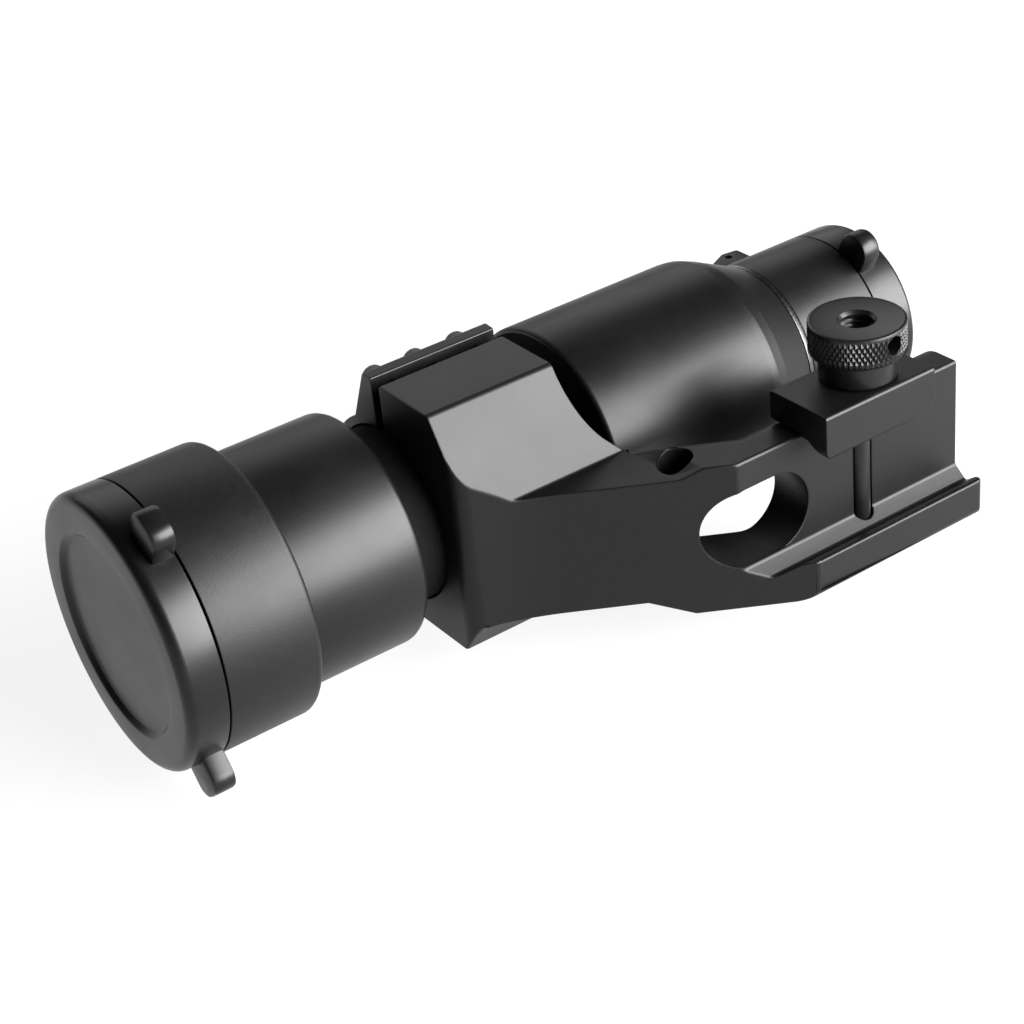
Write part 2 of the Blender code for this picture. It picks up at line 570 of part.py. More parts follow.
def reticle():
    """Carrier, cell, glass, crosshair and the return spring."""
    carrier = ring('reticle_carrier', 8.0, 9.3, TURRET_X - 1.9, TURRET_X + 1.9, MATT_BLACK)
    combine(carrier, pin('carrier_slot', 0, 12, 2.3, TURRETS['windage'], None))
    ring('reticle_cell', 6.0, 7.2, TURRET_X - 1.7, TURRET_X + 1.7, BRASS)
    low, high = TURRET_X - 1.3, TURRET_X - 0.3
    turned('reticle_glass', [(low, 0), (low, 5.7), (high, 5.7), (high, 0)], [], ALONG_X, GLASS)
    long, thin = 5.6, 0.12
    cross = [(-long, -thin), (-thin, -thin), (-thin, -long), (thin, -long), (thin, -thin), (long, -thin),
             (long, thin), (thin, thin), (thin, long), (-thin, long), (-thin, thin), (-long, thin)]
    frame = Matrix.Translation(((high + GAP) * MM, AXIS_Y * MM, 0)) @ FLAT_YZ
    plate('reticle_crosshair', cross, 0, 0.2, frame, SPRING_STEEL)


def reticle_spring():
    """A short coil that pushes the reticle back against both plungers."""
    turns, coil_r, wire_r, low, high, per_turn = 3, 1.8, 0.25, 10.3, 12.1, 12
    curve = bpy.data.curves.new('reticle_spring', 'CURVE')
    curve.dimensions = '3D'
    curve.bevel_depth = wire_r * MM
    curve.bevel_resolution = 2
    curve.use_fill_caps = True
    spline = curve.splines.new('POLY')
    count = turns * per_turn
    spline.points.add(count)
    for i, point in enumerate(spline.points):
        turn = 2 * math.pi * i / per_turn
        height = low + (high - low) * i / count
        point.co = (coil_r * math.cos(turn) * MM, coil_r * math.sin(turn) * MM, height * MM, 1)
    centre = Matrix.Translation((TURRET_X * MM, AXIS_Y * MM, 0))
    outward = centre @ Matrix.Rotation(math.radians(45), 4, 'X')
    as_mesh('reticle_spring', curve, outward, SPRING_STEEL)


def round_back_edges(mount):
    """Round the long edges of the base and the arm that face the scope."""
    radius = 4.0
    spare = 1.0
    outline = arc((-radius, -radius), radius, 0, 90, 5) + [(-radius, spare), (spare, spare), (spare, -radius)]
    size = len(outline)
    corner = Vector((mount_side()[0][0], BASE_BACK_Y, 0))
    flat, slant = Vector((0, 1, 0)), Vector((SLOPE, 1, 0)).normalized()
    mitre = (flat + slant) / (1 + flat.dot(slant))
    ends = [(corner + Vector((45, 0, 0)), flat), (corner, mitre),
            (corner + 17 * Vector((-1, SLOPE, 0)).normalized(), slant)]
    for z in BASE_Z:
        up = Vector((0, 0, math.copysign(1, z)))
        points = [(at + away * a + up * (abs(z) + b)) * MM for at, away in ends for a, b in outline]
        faces = [(k + i, k + (i + 1) % size, k + size + (i + 1) % size, k + size + i)
                 for k in (0, size) for i in range(size)]
        faces += [tuple(range(size)), tuple(range(2 * size, 3 * size))]
        combine(mount, place('back_edge', closed_mesh('back_edge', points, faces), Matrix.Identity(4), None))


cantilever = cantilever_mount()
round_back_edges(cantilever)
ring_strap()
ring_screws()
clamp_bolt()
clamp_jaw()
clamp_nut()
objective_bell()
front_barrel()
main_tube()
taper_adapter()
joint_ring()
eyepiece_housing()
front_cap()
rear_cap()
optics()
for turret_name, turret_frame in TURRETS.items():
    turret(turret_name, turret_frame)
plungers()
reticle()
reticle_spring()

bpy.context.view_layer.update()
for part in parts.objects:
    smooth(part)
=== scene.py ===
"""Looks of a black finder scope on a cantilever rail mount.

The frame's axes: +X runs along the optical axis to the eyepiece, -Y faces the rail and
+Z runs along the clamp bolt to its knurled nut. Sizes are in millimetres until a mesh
is made.
"""
import json
import math

import bmesh
import bpy
from mathutils import Matrix, Vector


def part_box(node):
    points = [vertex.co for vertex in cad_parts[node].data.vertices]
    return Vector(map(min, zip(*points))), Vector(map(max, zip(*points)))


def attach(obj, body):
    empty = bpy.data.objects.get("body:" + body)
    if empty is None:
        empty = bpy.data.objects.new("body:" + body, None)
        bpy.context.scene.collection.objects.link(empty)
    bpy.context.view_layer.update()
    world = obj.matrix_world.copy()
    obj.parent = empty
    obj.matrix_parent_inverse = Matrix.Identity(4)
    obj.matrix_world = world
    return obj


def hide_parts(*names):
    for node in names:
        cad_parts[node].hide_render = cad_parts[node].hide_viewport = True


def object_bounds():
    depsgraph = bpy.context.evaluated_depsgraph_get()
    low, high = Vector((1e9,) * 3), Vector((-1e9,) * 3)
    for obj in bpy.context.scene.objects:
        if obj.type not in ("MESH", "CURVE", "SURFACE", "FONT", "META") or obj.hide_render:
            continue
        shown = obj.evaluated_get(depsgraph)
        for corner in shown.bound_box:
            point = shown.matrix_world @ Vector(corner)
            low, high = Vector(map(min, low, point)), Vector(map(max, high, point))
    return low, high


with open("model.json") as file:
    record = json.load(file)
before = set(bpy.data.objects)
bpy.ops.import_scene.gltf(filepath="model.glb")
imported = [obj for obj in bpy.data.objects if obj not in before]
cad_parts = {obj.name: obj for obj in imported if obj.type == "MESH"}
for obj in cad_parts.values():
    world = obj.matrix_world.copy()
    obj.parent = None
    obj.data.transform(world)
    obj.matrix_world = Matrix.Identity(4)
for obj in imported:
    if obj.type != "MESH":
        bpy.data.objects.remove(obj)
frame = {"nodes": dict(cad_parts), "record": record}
cad_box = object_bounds()

MM = 0.001
ROUND = 96                # sides of the housings
SMALL = 48                # sides of the small turned pieces
GAP = 0.3                 # clearance between pieces in the CAD model


def span(node):
    """Lowest and highest corner of a CAD node, in millimetres."""
    low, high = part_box(node)
    return low / MM, high / MM


def middle(node):
    """Centre of a CAD node's box, in millimetres."""
    low, high = span(node)
    return (low + high) / 2


# Places that the CAD nodes give
AXIS_Y = middle('main_tube').y
BELL_LOW, BELL_HIGH = span('objective_bell')
BARREL_LOW, BARREL_HIGH = span('front_barrel')
TUBE_LOW, TUBE_HIGH = span('main_tube')
TAPER_HIGH = span('taper_adapter')[1]
REAR_LOW, REAR_HIGH = span('eyepiece_housing')
CAP_LOW, CAP_HIGH = span('front_cap')
REAR_CAP_LOW, REAR_CAP_HIGH = span('rear_cap')
STRAP_LOW, STRAP_HIGH = span('ring_strap')
MOUNT_LOW, MOUNT_HIGH = span('cantilever_mount')
JAW_LOW, JAW_HIGH = span('clamp_jaw')
NUT_LOW, NUT_HIGH = span('clamp_nut')
BOLT_LOW, BOLT_HIGH = span('clamp_bolt')
CLAMP = middle('clamp_nut')
TURRET_X = middle('elevation_turret_cap').x
BELL_R = (BELL_HIGH.y - BELL_LOW.y) / 2
BARREL_R = (BARREL_HIGH.y - BARREL_LOW.y) / 2
BODY_R = (TUBE_HIGH.y - TUBE_LOW.y) / 2
REAR_R = (REAR_HIGH.y - REAR_LOW.y) / 2
NUT_R = (NUT_HIGH.x - NUT_LOW.x) / 2
MOUTH_R = 21.6            # the bell's mouth under the front cap
BELL_BORE_R = (20.3, 19.0)        # the bell's bore before and behind its step
BELL_STEP_X = -96.6
BARREL_SOCKET_R = 18.7    # the barrel's neck inside the bell
BARREL_BORE_R = 17.0
BARREL_STEP_X = -70.6
NECK_R = 15.2             # the main tube's neck under the ring
TUBE_BORE_R = 13.2
BODY_FRONT_X = -30.2      # the step from the neck to the body
BODY_STEP_X = -27.2       # the same step inside
BODY_WALL = 2.0
EDGE_R = 20.45            # where the body's rounded rear edge meets the taper
TAPER_END_R = 16.45
TAPER_SPIGOT_R = (16.8, 18.6)     # the taper's sleeve inside the body
TAPER_SPIGOT_X = 1.5
TAPER_BORE_X = 10.5
REAR_FRONT_X = 16.9
REAR_SEAM_X = 33.4        # the seam between the eyepiece housing and its cap
REAR_BORE_R = 12.7
EYE_MOUTH_R = 14.5        # the eyepiece's mouth under the rear cap
FRONT_EARS = (61.0, -49.5)        # angles of the pull ears round the axis
REAR_EARS = (64.0, -49.5)

# The adjusters. Heights are measured outwards from the optical axis
BOSS_TOP = 18.9
BOSS_HALF = 3.7           # half of a boss's length along the scope
BOSS_END = 10.0           # half of its width
BOSS_NECK_R = 3.4
BOSS_NECK_TOP = 20.8
BOSS_BORE_R = 2.9
LOCK_HOLE_R = 0.7
SCREW_CAP_R = 4.9
SCREW_CAP_BORE_R = 4.2
DIAL_SHAFT_R = (1.8, 2.6)
DIAL_R = 3.5

# The mount's own shape. A pair is the start and the end of something along the named axis
BLOCK_LOW_Z = -18.6
SPLIT_Y = 41.5            # the block's face under the strap
SPLIT_GAP = 2.0           # open slot under the strap's flange
STRAP_Z = -0.8            # centre of the strap's outside
FACET_Y = (18.4, 27.5)
FACET_Z = (9.0, 24.0)
ARM_Z = (-13.5, 9.0)
BASE_Z = (-16.6, 10.7)
BASE_BACK_Y = 8.5
SLOPE = 0.62              # fall of the arm towards the rail, per millimetre of X
ARM_FOOT_X = -23.0        # where the arm's underside would reach the rail seat
HOLLOW = (-28.6, 27.3)    # centre of the round hollow between block and arm
HOLLOW_R = 8.8
TOP_RAMP_X = (-30.6, -27.4)       # ends of the ramps between arm and base
LOW_RAMP_X = (-36.0, -29.5)
WINDOW_X = (-28.4, -8.5)
WINDOW_Z = (-8.8, 5.3)
WINDOW_R = 7.0
CROSS_HOLE = (-28.2, 9.0)         # X and Y of the blind hole beside the window
CROSS_HOLE_R = 2.8
BOLT_HOLE_R = 2.1
HEAD_POCKET_R = 4.1
BACK_EDGE_R = 4.0
BEND_X = -52.0            # where the underside flattens under the block
BEND_SLOPE = 0.38
LIP_CREST = (-4.9, -9.6)  # Y and Z of the fixed lip's highest corner
BORE_R = 15.5
SCREW_Z = 21.1
SCREW_SEAT_Y = 45.9
SCREW_SHANK_R = 1.3
JAW_LEDGE_Z = 10.4        # height of the ledge between the jaw's hook and its flat face

# Frames that turn a flat outline's own x, y and z into the object's
FLAT_XY = Matrix.Identity(4)
FLAT_YZ = Matrix(((0, 0, 1, 0), (1, 0, 0, 0), (0, 1, 0, 0), (0, 0, 0, 1)))
FLAT_XZ = Matrix(((1, 0, 0, 0), (0, 0, -1, 0), (0, 1, 0, 0), (0, 0, 0, 1)))
ALONG_X = Matrix.Translation((0, AXIS_Y * MM, 0)) @ Matrix.Rotation(math.pi / 2, 4, 'Y')
CLAMP_AXIS = Matrix.Translation((CLAMP.x * MM, CLAMP.y * MM, 0))
TURRET_CENTRE = Matrix.Translation((TURRET_X * MM, AXIS_Y * MM, 0))
TURRETS = {
    'elevation': TURRET_CENTRE @ Matrix.Rotation(-math.pi / 2, 4, 'X'),
    'windage': TURRET_CENTRE @ Matrix.Rotation(math.pi, 4, 'X'),
}


# ---------------------------------------------------------------- materials

def finish(name, colour, roughness, spread=0.05, grain=0.0, grain_scale=2600.0, metallic=0.0,
           specular=0.25, turned_marks=0.0, vary=0.25):
    """A satin finish: blasted grain, soft patches of roughness and faint colour variation.

    spread is how far the patches go from the roughness, vary how far the colour goes from
    its mean. turned_marks adds the fine rings that a lathe leaves round the object's X axis.
    """
    made = bpy.data.materials.new(name)
    made.use_nodes = True
    nodes, links = made.node_tree.nodes, made.node_tree.links
    shader = nodes['Principled BSDF']
    shader.inputs['Metallic'].default_value = metallic
    shader.inputs['Specular IOR Level'].default_value = specular
    place = nodes.new('ShaderNodeTexCoord').outputs['Object']

    def noise(scale, detail, stretch=None):
        source = place
        if stretch:
            mapping = nodes.new('ShaderNodeMapping')
            mapping.inputs['Scale'].default_value = stretch
            links.new(place, mapping.inputs['Vector'])
            source = mapping.outputs['Vector']
        texture = nodes.new('ShaderNodeTexNoise')
        texture.inputs['Scale'].default_value = scale
        texture.inputs['Detail'].default_value = detail
        links.new(source, texture.inputs['Vector'])
        return texture.outputs['Fac']

    patches = noise(70.0, 4.0)
    if turned_marks:
        rings = noise(2500.0, 2.0, (1.0, 0.02, 0.02))
        mix = nodes.new('ShaderNodeMix')
        mix.inputs['Factor'].default_value = turned_marks
        links.new(patches, mix.inputs['A'])
        links.new(rings, mix.inputs['B'])
        patches = mix.outputs['Result']
    rough = nodes.new('ShaderNodeMapRange')
    rough.inputs['From Min'].default_value = 0.3
    rough.inputs['From Max'].default_value = 0.7
    rough.inputs['To Min'].default_value = roughness - spread
    rough.inputs['To Max'].default_value = roughness + spread
    links.new(patches, rough.inputs['Value'])
    links.new(rough.outputs['Result'], shader.inputs['Roughness'])
    ramp = nodes.new('ShaderNodeValToRGB')
    ramp.color_ramp.elements[0].position = 0.3
    ramp.color_ramp.elements[1].position = 0.7
    ramp.color_ramp.elements[0].color = (*[c * (1 - vary) for c in colour], 1)
    ramp.color_ramp.elements[1].color = (*[c * (1 + vary) for c in colour], 1)
    links.new(noise(grain_scale * 0.4, 3.0), ramp.inputs['Fac'])
    links.new(ramp.outputs['Color'], shader.inputs['Base Color'])
    if grain:
        bump = nodes.new('ShaderNodeBump')
        bump.inputs['Strength'].default_value = grain
        bump.inputs['Distance'].default_value = 0.02 * MM
        links.new(noise(grain_scale, 2.0), bump.inputs['Height'])
        links.new(bump.outputs['Normal'], shader.inputs['Normal'])
    return made


def coated_glass(name, tint):
    """Optical glass with a faintly coloured coating."""
    made = finish(name, (0.9, 0.94, 0.95), 0.03, spread=0.01, vary=0.02)
    shader = made.node_tree.nodes['Principled BSDF']
    shader.inputs['Transmission Weight'].default_value = 1.0
    shader.inputs['IOR'].default_value = 1.52
    shader.inputs['Coat Weight'].default_value = 0.6
    shader.inputs['Coat Roughness'].default_value = 0.03
    shader.inputs['Coat Tint'].default_value = (*tint, 1)
    return made


BLASTED = finish('blasted_anodise', (0.0028, 0.0028, 0.003), 0.47, grain=0.6, turned_marks=0.2)
SATIN = finish('satin_anodise', (0.0022, 0.0022, 0.0024), 0.4, grain=0.45, turned_marks=0.2)
MOUNT_BLACK = finish('mount_anodise', (0.0022, 0.0022, 0.0024), 0.42, spread=0.02, grain=0.45)
STRAP_BLACK = finish('strap_anodise', (0.0022, 0.0022, 0.0024), 0.4, grain=0.45)
CAP_BLACK = finish('cap_rubber', (0.0028, 0.0028, 0.0028), 0.34, spread=0.04, grain=0.2,
                   grain_scale=1800)
SCREW_BLACK = finish('black_oxide_steel', (0.004, 0.004, 0.0042), 0.33, grain=0.1, specular=0.3)
RING_STEEL = finish('polished_ring', (0.09, 0.09, 0.092), 0.28, grain=0.1, metallic=1.0,
                    turned_marks=0.5)
NUT_BLACK = finish('nut_anodise', (0.004, 0.004, 0.0042), 0.36, grain=0.25, specular=0.3)
# Flat black for the inner pieces and rings; it is also put on the tube's neck as painted shade
MATT_BLACK_AND_SHADE = finish('flat_black_and_painted_shade', (0.003, 0.003, 0.003), 0.85, grain=0.4, specular=0.1)
BRASS = finish('machined_brass', (0.62, 0.44, 0.17), 0.3, grain=0.1, metallic=1.0, turned_marks=0.5)
WIRE = finish('bright_wire', (0.45, 0.45, 0.46), 0.3, grain=0.1, metallic=1.0)
SEAL = finish('seal_rubber', (0.014, 0.014, 0.014), 0.6, grain=0.4, grain_scale=2500)
OBJECTIVE_GLASS = coated_glass('objective_glass', (0.75, 0.6, 0.95))
EYE_GLASS = coated_glass('eyepiece_glass', (0.6, 0.85, 0.75))
PLAIN_GLASS = coated_glass('prism_glass', (0.9, 0.95, 1.0))


# ---------------------------------------------------------------- shapes

def arc(centre, radius, start, end, steps):
    """Points on an arc, with its angles in degrees."""
    angles = [math.radians(start + (end - start) * i / steps) for i in range(steps + 1)]
    return [(centre[0] + radius * math.cos(a), centre[1] + radius * math.sin(a)) for a in angles]


def rounded(corners, steps=6, closed=True):
    """An outline from corners (x, y) or (x, y, radius), with its corners rounded."""
    outline = []
    count = len(corners)
    for i, corner in enumerate(corners):
        here = Vector(corner[:2])
        radius = corner[2] if len(corner) > 2 else 0.0
        if not radius or not (closed or 0 < i < count - 1):
            outline.append(tuple(here))
            continue
        back = (Vector(corners[i - 1][:2]) - here).normalized()
        ahead = (Vector(corners[(i + 1) % count][:2]) - here).normalized()
        half = back.angle(ahead) / 2
        centre = here + (back + ahead).normalized() * radius / math.sin(half)
        first = here + back * radius / math.tan(half) - centre
        turn = first.angle_signed(here + ahead * radius / math.tan(half) - centre)
        for k in range(steps + 1):
            outline.append(tuple(centre + Matrix.Rotation(-turn * k / steps, 2) @ first))
    return outline


def shown(made, paint, body, nodes):
    """Give a new piece its material, its body and the nodes it stands for."""
    made.data.materials.clear()
    made.data.materials.append(paint)
    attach(made, body)
    if nodes:
        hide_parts(*nodes)
    return made


def solid(name, points, faces, matrix=None):
    """An object with a closed mesh, from points in millimetres."""
    mesh = bpy.data.meshes.new(name)
    mesh.from_pydata([Vector(p) * MM for p in points], [], faces)
    work = bmesh.new()
    work.from_mesh(mesh)
    bmesh.ops.recalc_face_normals(work, faces=work.faces)
    work.to_mesh(mesh)
    work.free()
    made = bpy.data.objects.new(name, mesh)
    made.matrix_world = matrix or Matrix.Identity(4)
    bpy.context.scene.collection.objects.link(made)
    return made


def smooth(made, degrees=38):
    """Smooth shading that keeps the edges sharper than an angle."""
    made.data.shade_smooth()
    made.data.set_sharp_from_angle(angle=math.radians(degrees))
    return made


def lathe(name, profile, axis, sides=ROUND, relief=None):
    """A turned solid from (along, radius) points.

    A profile that starts and ends on the axis is solid; any other is closed on itself.
    relief(i, k) gives the radius to take off ring k at side i.
    """
    capped = profile[0][1] == 0 and profile[-1][1] == 0
    rings, points = [], []
    for k, (along, radius) in enumerate(profile):
        if radius == 0:
            rings.append([len(points)] * sides)
            points.append((0, 0, along))
            continue
        rings.append(list(range(len(points), len(points) + sides)))
        for i in range(sides):
            turn = 2 * math.pi * i / sides
            r = radius - (relief(i, k) if relief else 0)
            points.append((r * math.cos(turn), r * math.sin(turn), along))
    faces = []
    for k in range(len(rings) - 1 if capped else len(rings)):
        low, high = rings[k], rings[(k + 1) % len(rings)]
        for i in range(sides):
            j = (i + 1) % sides
            corners = [low[i], low[j], high[j], high[i]]
            face = [c for n, c in enumerate(corners) if c != corners[n - 1]]
            if relief and len(face) == 4 and relief(i, k) != relief(j, k):
                # A knurled square is split along its valley
                a, b, c, d = face
                deeper = relief(i, k) > relief(j, k)
                faces += [(a, b, c), (a, c, d)] if deeper else [(a, b, d), (b, c, d)]
            else:
                faces.append(face)
    return smooth(solid(name, points, faces, axis))


def plate(name, outline, low, high, place, edge=0.0):
    """A flat outline with a thickness along the place's Z axis; edge rounds its rims."""
    count = len(outline)
    levels = [(low, 0), (high, 0)] if not edge else [
        (low, edge), (low + edge * 0.3, edge * 0.3), (low + edge, 0),
        (high - edge, 0), (high - edge * 0.3, edge * 0.3), (high, edge)]
    points, faces = [], []
    corners = [Vector(p) for p in outline]
    area = sum(corners[i - 1].cross(corners[i]) for i in range(count))
    side = 1 if area > 0 else -1
    inward = []
    for i in range(count):
        before = (corners[i] - corners[i - 1]).normalized()
        after = (corners[(i + 1) % count] - corners[i]).normalized()
        mean = (before + after).normalized()
        stretch = 1 / max(0.5, mean.dot(before))
        inward.append(Vector((-mean.y, mean.x)) * side * stretch)
    for height, inset in levels:
        points += [(*(corners[i] + inward[i] * inset), height) for i in range(count)]
    for k in range(len(levels) - 1):
        for i in range(count):
            j = (i + 1) % count
            faces.append((k * count + i, k * count + j, (k + 1) * count + j, (k + 1) * count + i))
    faces.append(tuple(range(count)))
    faces.append(tuple(range((len(levels) - 1) * count, len(levels) * count)))
    return smooth(solid(name, points, faces, place))


def combine(target, tool, operation='DIFFERENCE'):
    """Cut a piece with a tool, or join the tool to it; the tool is used up."""
    step = target.modifiers.new('step', 'BOOLEAN')
    step.operation = operation
    step.object = tool
    step.solver = 'EXACT'
    bake(target)
    bpy.data.objects.remove(tool, do_unlink=True)


def bake(made):
    """Apply the modifiers of a piece to its mesh."""
    bpy.context.view_layer.update()
    graph = bpy.context.evaluated_depsgraph_get()
    mesh = bpy.data.meshes.new_from_object(made.evaluated_get(graph))
    made.modifiers.clear()
    made.data = mesh


def ease_edges(made, width, angle=28, segments=2):
    """Merge flat areas of a cut piece and round its sharp edges."""
    work = bmesh.new()
    work.from_mesh(made.data)
    bmesh.ops.remove_doubles(work, verts=work.verts, dist=0.002 * MM)
    flat = math.radians(0.6)
    bmesh.ops.dissolve_limit(work, angle_limit=flat, verts=work.verts, edges=work.edges)
    work.to_mesh(made.data)
    work.free()
    bevel = made.modifiers.new('bevel', 'BEVEL')
    bevel.width = width * MM
    bevel.segments = segments
    bevel.limit_method = 'ANGLE'
    bevel.angle_limit = math.radians(angle)
    bevel.use_clamp_overlap = False
    bevel.miter_outer = 'MITER_ARC'
    bake(made)
    smooth(made, 40)
    # Flat faces keep their own normals, and the rounded edges take up the change between them
    made.modifiers.new('normals', 'WEIGHTED_NORMAL').keep_sharp = True
    bake(made)


# ---------------------------------------------------------------- mount

def facet_y(z):
    """Y of the slanted facet at a height above or below the centre plane."""
    share = (abs(z) - FACET_Z[0]) / (FACET_Z[1] - FACET_Z[0])
    return FACET_Y[0] + share * (FACET_Y[1] - FACET_Y[0])


def narrowing(outline, sign):
    """A tool that narrows the arm from above or below, as far as the slanted facet."""
    far = 30
    made = plate('narrow', outline, -FACET_Y[1], 10, FLAT_XZ)
    rail_side = [(-40, 0), (facet_y(0), 0), (facet_y(far), sign * far), (-40, sign * far)]
    combine(made, plate('rail_side', rail_side, -80, 0, FLAT_YZ), 'INTERSECT')
    return made


def mount_side():
    """The mount seen along Z: ring block, slanted arm and rail base."""
    lip_x = ARM_FOOT_X - MOUNT_LOW.y / SLOPE
    tangent = 180 + math.degrees(math.atan2(1, SLOPE))
    hollow = arc(HOLLOW, HOLLOW_R, 180, tangent, 24)
    last_x, last_y = hollow[-1]
    back_x = last_x + (last_y - BASE_BACK_Y) / SLOPE
    front = MOUNT_LOW.x
    bend_y = -SLOPE * (BEND_X - ARM_FOOT_X)
    low_part = rounded([
        (back_x, BASE_BACK_Y, 6.0), (MOUNT_HIGH.x, BASE_BACK_Y, 1.5),
        (MOUNT_HIGH.x, MOUNT_LOW.y, 1.5), (lip_x, MOUNT_LOW.y, 2.0), (BEND_X, bend_y, 60.0),
        (front, bend_y - BEND_SLOPE * (front - BEND_X), 3.5), (front, SPLIT_Y),
        (HOLLOW[0] - HOLLOW_R, SPLIT_Y), (last_x, last_y)])
    return low_part[:-1] + hollow


def mount_end():
    """The mount seen along X: a faceted block above a narrower arm, with the clamp's fixed lip."""
    top, bottom = BASE_Z[1], BASE_Z[0]
    return rounded([
        (MOUNT_LOW.y, bottom, 2.2), (facet_y(bottom), bottom),
        (facet_y(BLOCK_LOW_Z), BLOCK_LOW_Z, 1.0), (SPLIT_Y, BLOCK_LOW_Z),
        (SPLIT_Y, FACET_Z[1], 0.9), (FACET_Y[1], FACET_Z[1], 1.2), (facet_y(top), top),
        (0, top, 0.6), (0, -9.2), (-2.5, -11.3, 0.7),
        (*LIP_CREST, 0.5), (MOUNT_LOW.y, LIP_CREST[1] + 0.4, 0.4)], 6)


def back_edge_tools():
    """Two tools that round the long edges of the base and the arm on the scope's side."""
    radius, spare = BACK_EDGE_R, 1.0
    outline = arc((-radius, -radius), radius, 0, 90, 10)
    outline += [(-radius, spare), (spare, spare), (spare, -radius)]
    size = len(outline)
    corner = Vector((mount_side()[0][0], BASE_BACK_Y, 0))
    flat, slant = Vector((0, 1, 0)), Vector((SLOPE, 1, 0)).normalized()
    mitre = (flat + slant) / (1 + flat.dot(slant))
    ends = [(corner + Vector((45, 0, 0)), flat), (corner, mitre),
            (corner + 17 * Vector((-1, SLOPE, 0)).normalized(), slant)]
    faces = [(k + i, k + (i + 1) % size, k + size + (i + 1) % size, k + size + i)
             for k in (0, size) for i in range(size)]
    faces += [tuple(range(size)), tuple(range(2 * size, 3 * size))]
    for z in BASE_Z:
        up = Vector((0, 0, math.copysign(1, z)))
        points = [at + away * a + up * (abs(z) + b) for at, away in ends for a, b in outline]
        yield solid('back_edge', points, faces)


def rod(low, high, radius, axis, sides=SMALL):
    """A plain cylinder, used as a tool."""
    return lathe('rod', [(low, 0), (low, radius), (high, radius), (high, 0)], axis, sides)


def screw_axis(x):
    """The frame of one ring screw, whose own Z axis points away from the rail."""
    return Matrix.Translation((x * MM, 0, SCREW_Z * MM)) @ Matrix.Rotation(-math.pi / 2, 4, 'X')


def mount():
    """Ring block, arm and rail base, with eased edges."""
    made = plate('mount_body', mount_side(), -30, 30, FLAT_XY)
    combine(made, plate('envelope', mount_end(), -70, 30, FLAT_YZ), 'INTERSECT')
    combine(made, rod(-70, -30, BORE_R, ALONG_X, ROUND))
    start, end = TOP_RAMP_X
    narrow_top = [(-70, ARM_Z[1]), (start, ARM_Z[1]), (end, BASE_Z[1]), (end, 14), (-70, 14)]
    combine(made, narrowing(narrow_top, 1))
    start, end = LOW_RAMP_X
    narrow_low = [(-70, ARM_Z[0]), (-70, -20), (end, -20), (end, BASE_Z[0]), (start, ARM_Z[0])]
    combine(made, narrowing(narrow_low, -1))
    window = rounded([
        (WINDOW_X[0], WINDOW_Z[0], WINDOW_R), (WINDOW_X[1], WINDOW_Z[0], WINDOW_R),
        (WINDOW_X[1], WINDOW_Z[1], WINDOW_R), (WINDOW_X[0], WINDOW_Z[1], WINDOW_R)], 16)
    combine(made, plate('window', window, -30, 12, FLAT_XZ))
    cross = Matrix.Translation((CROSS_HOLE[0] * MM, CROSS_HOLE[1] * MM, 0))
    combine(made, rod(5.8, 14, CROSS_HOLE_R, cross))
    combine(made, rod(-20, 14, BOLT_HOLE_R, CLAMP_AXIS))
    combine(made, rod(-20, -13.3, HEAD_POCKET_R, CLAMP_AXIS))
    for tool in back_edge_tools():
        combine(made, tool)
    ease_edges(made, 0.4)
    return shown(made, MOUNT_BLACK, 'mount', ['cantilever_mount'])


def ring_strap():
    """The ring's loose half, with a hooked tongue and a tapered screw flange."""
    low, hooked, end = SPLIT_Y + SPLIT_GAP, SPLIT_Y + GAP, STRAP_LOW.z
    crown = [(AXIS_Y + y, z) for z, y in arc((STRAP_Z, 0), STRAP_Z - end, 27, 180, 60)]
    tongue = [(hooked, end), (hooked, -17.6), (39.4, -17.6), (39.4, -16.8), (hooked, -16.8),
              (hooked, 2 - BORE_R), (low, 2 - BORE_R)]
    flange = rounded([(low, 17.0), (low, STRAP_HIGH.z - 0.2, 0.3),
                      (46.0, STRAP_HIGH.z, 0.9), crown[0]], 6, closed=False)[1:-1]
    made = plate('ring_strap', tongue + flange + crown, STRAP_LOW.x, STRAP_HIGH.x, FLAT_YZ)
    combine(made, rod(-70, -30, BORE_R, ALONG_X, ROUND))
    stepped = [(40, 0), (40, 1.6), (SCREW_SEAT_Y, 1.6), (SCREW_SEAT_Y, 2.6), (55, 2.6), (55, 0)]
    for number in (1, 2, 3):
        axis = screw_axis(middle(f'ring_screw_{number}').x)
        combine(made, lathe('screw_hole', stepped, axis, SMALL))
    ease_edges(made, 0.2)
    return shown(made, STRAP_BLACK, 'mount', ['ring_strap'])


def hexagon(low, high, across, axis):
    """A six-sided tool for a socket."""
    corner = across / math.sqrt(3)
    return lathe('hexagon', [(low, 0), (low, corner), (high, corner), (high, 0)], axis, 6)


def ring_screws():
    """Domed socket screws along the strap's flange."""
    for number in (1, 2, 3):
        node = f'ring_screw_{number}'
        low, high = span(node)
        axis = screw_axis(middle(node).x)
        head_r, shank_r = (high.x - low.x) / 2, SCREW_SHANK_R
        seat = SCREW_SEAT_Y + GAP
        profile = rounded([(low.y, 0), (low.y, shank_r), (seat, shank_r), (seat, head_r, 0.25),
                           (high.y - 0.1, head_r - 0.1, 0.9), (high.y, 0)], 5, closed=False)
        made = lathe(f'cap_screw_{number}', profile, axis, SMALL)
        combine(made, hexagon(seat + 1.3, high.y + 1, 2.1, axis))
        smooth(made, 30)
        shown(made, SCREW_BLACK, 'mount', [node])


# ---------------------------------------------------------------- clamp

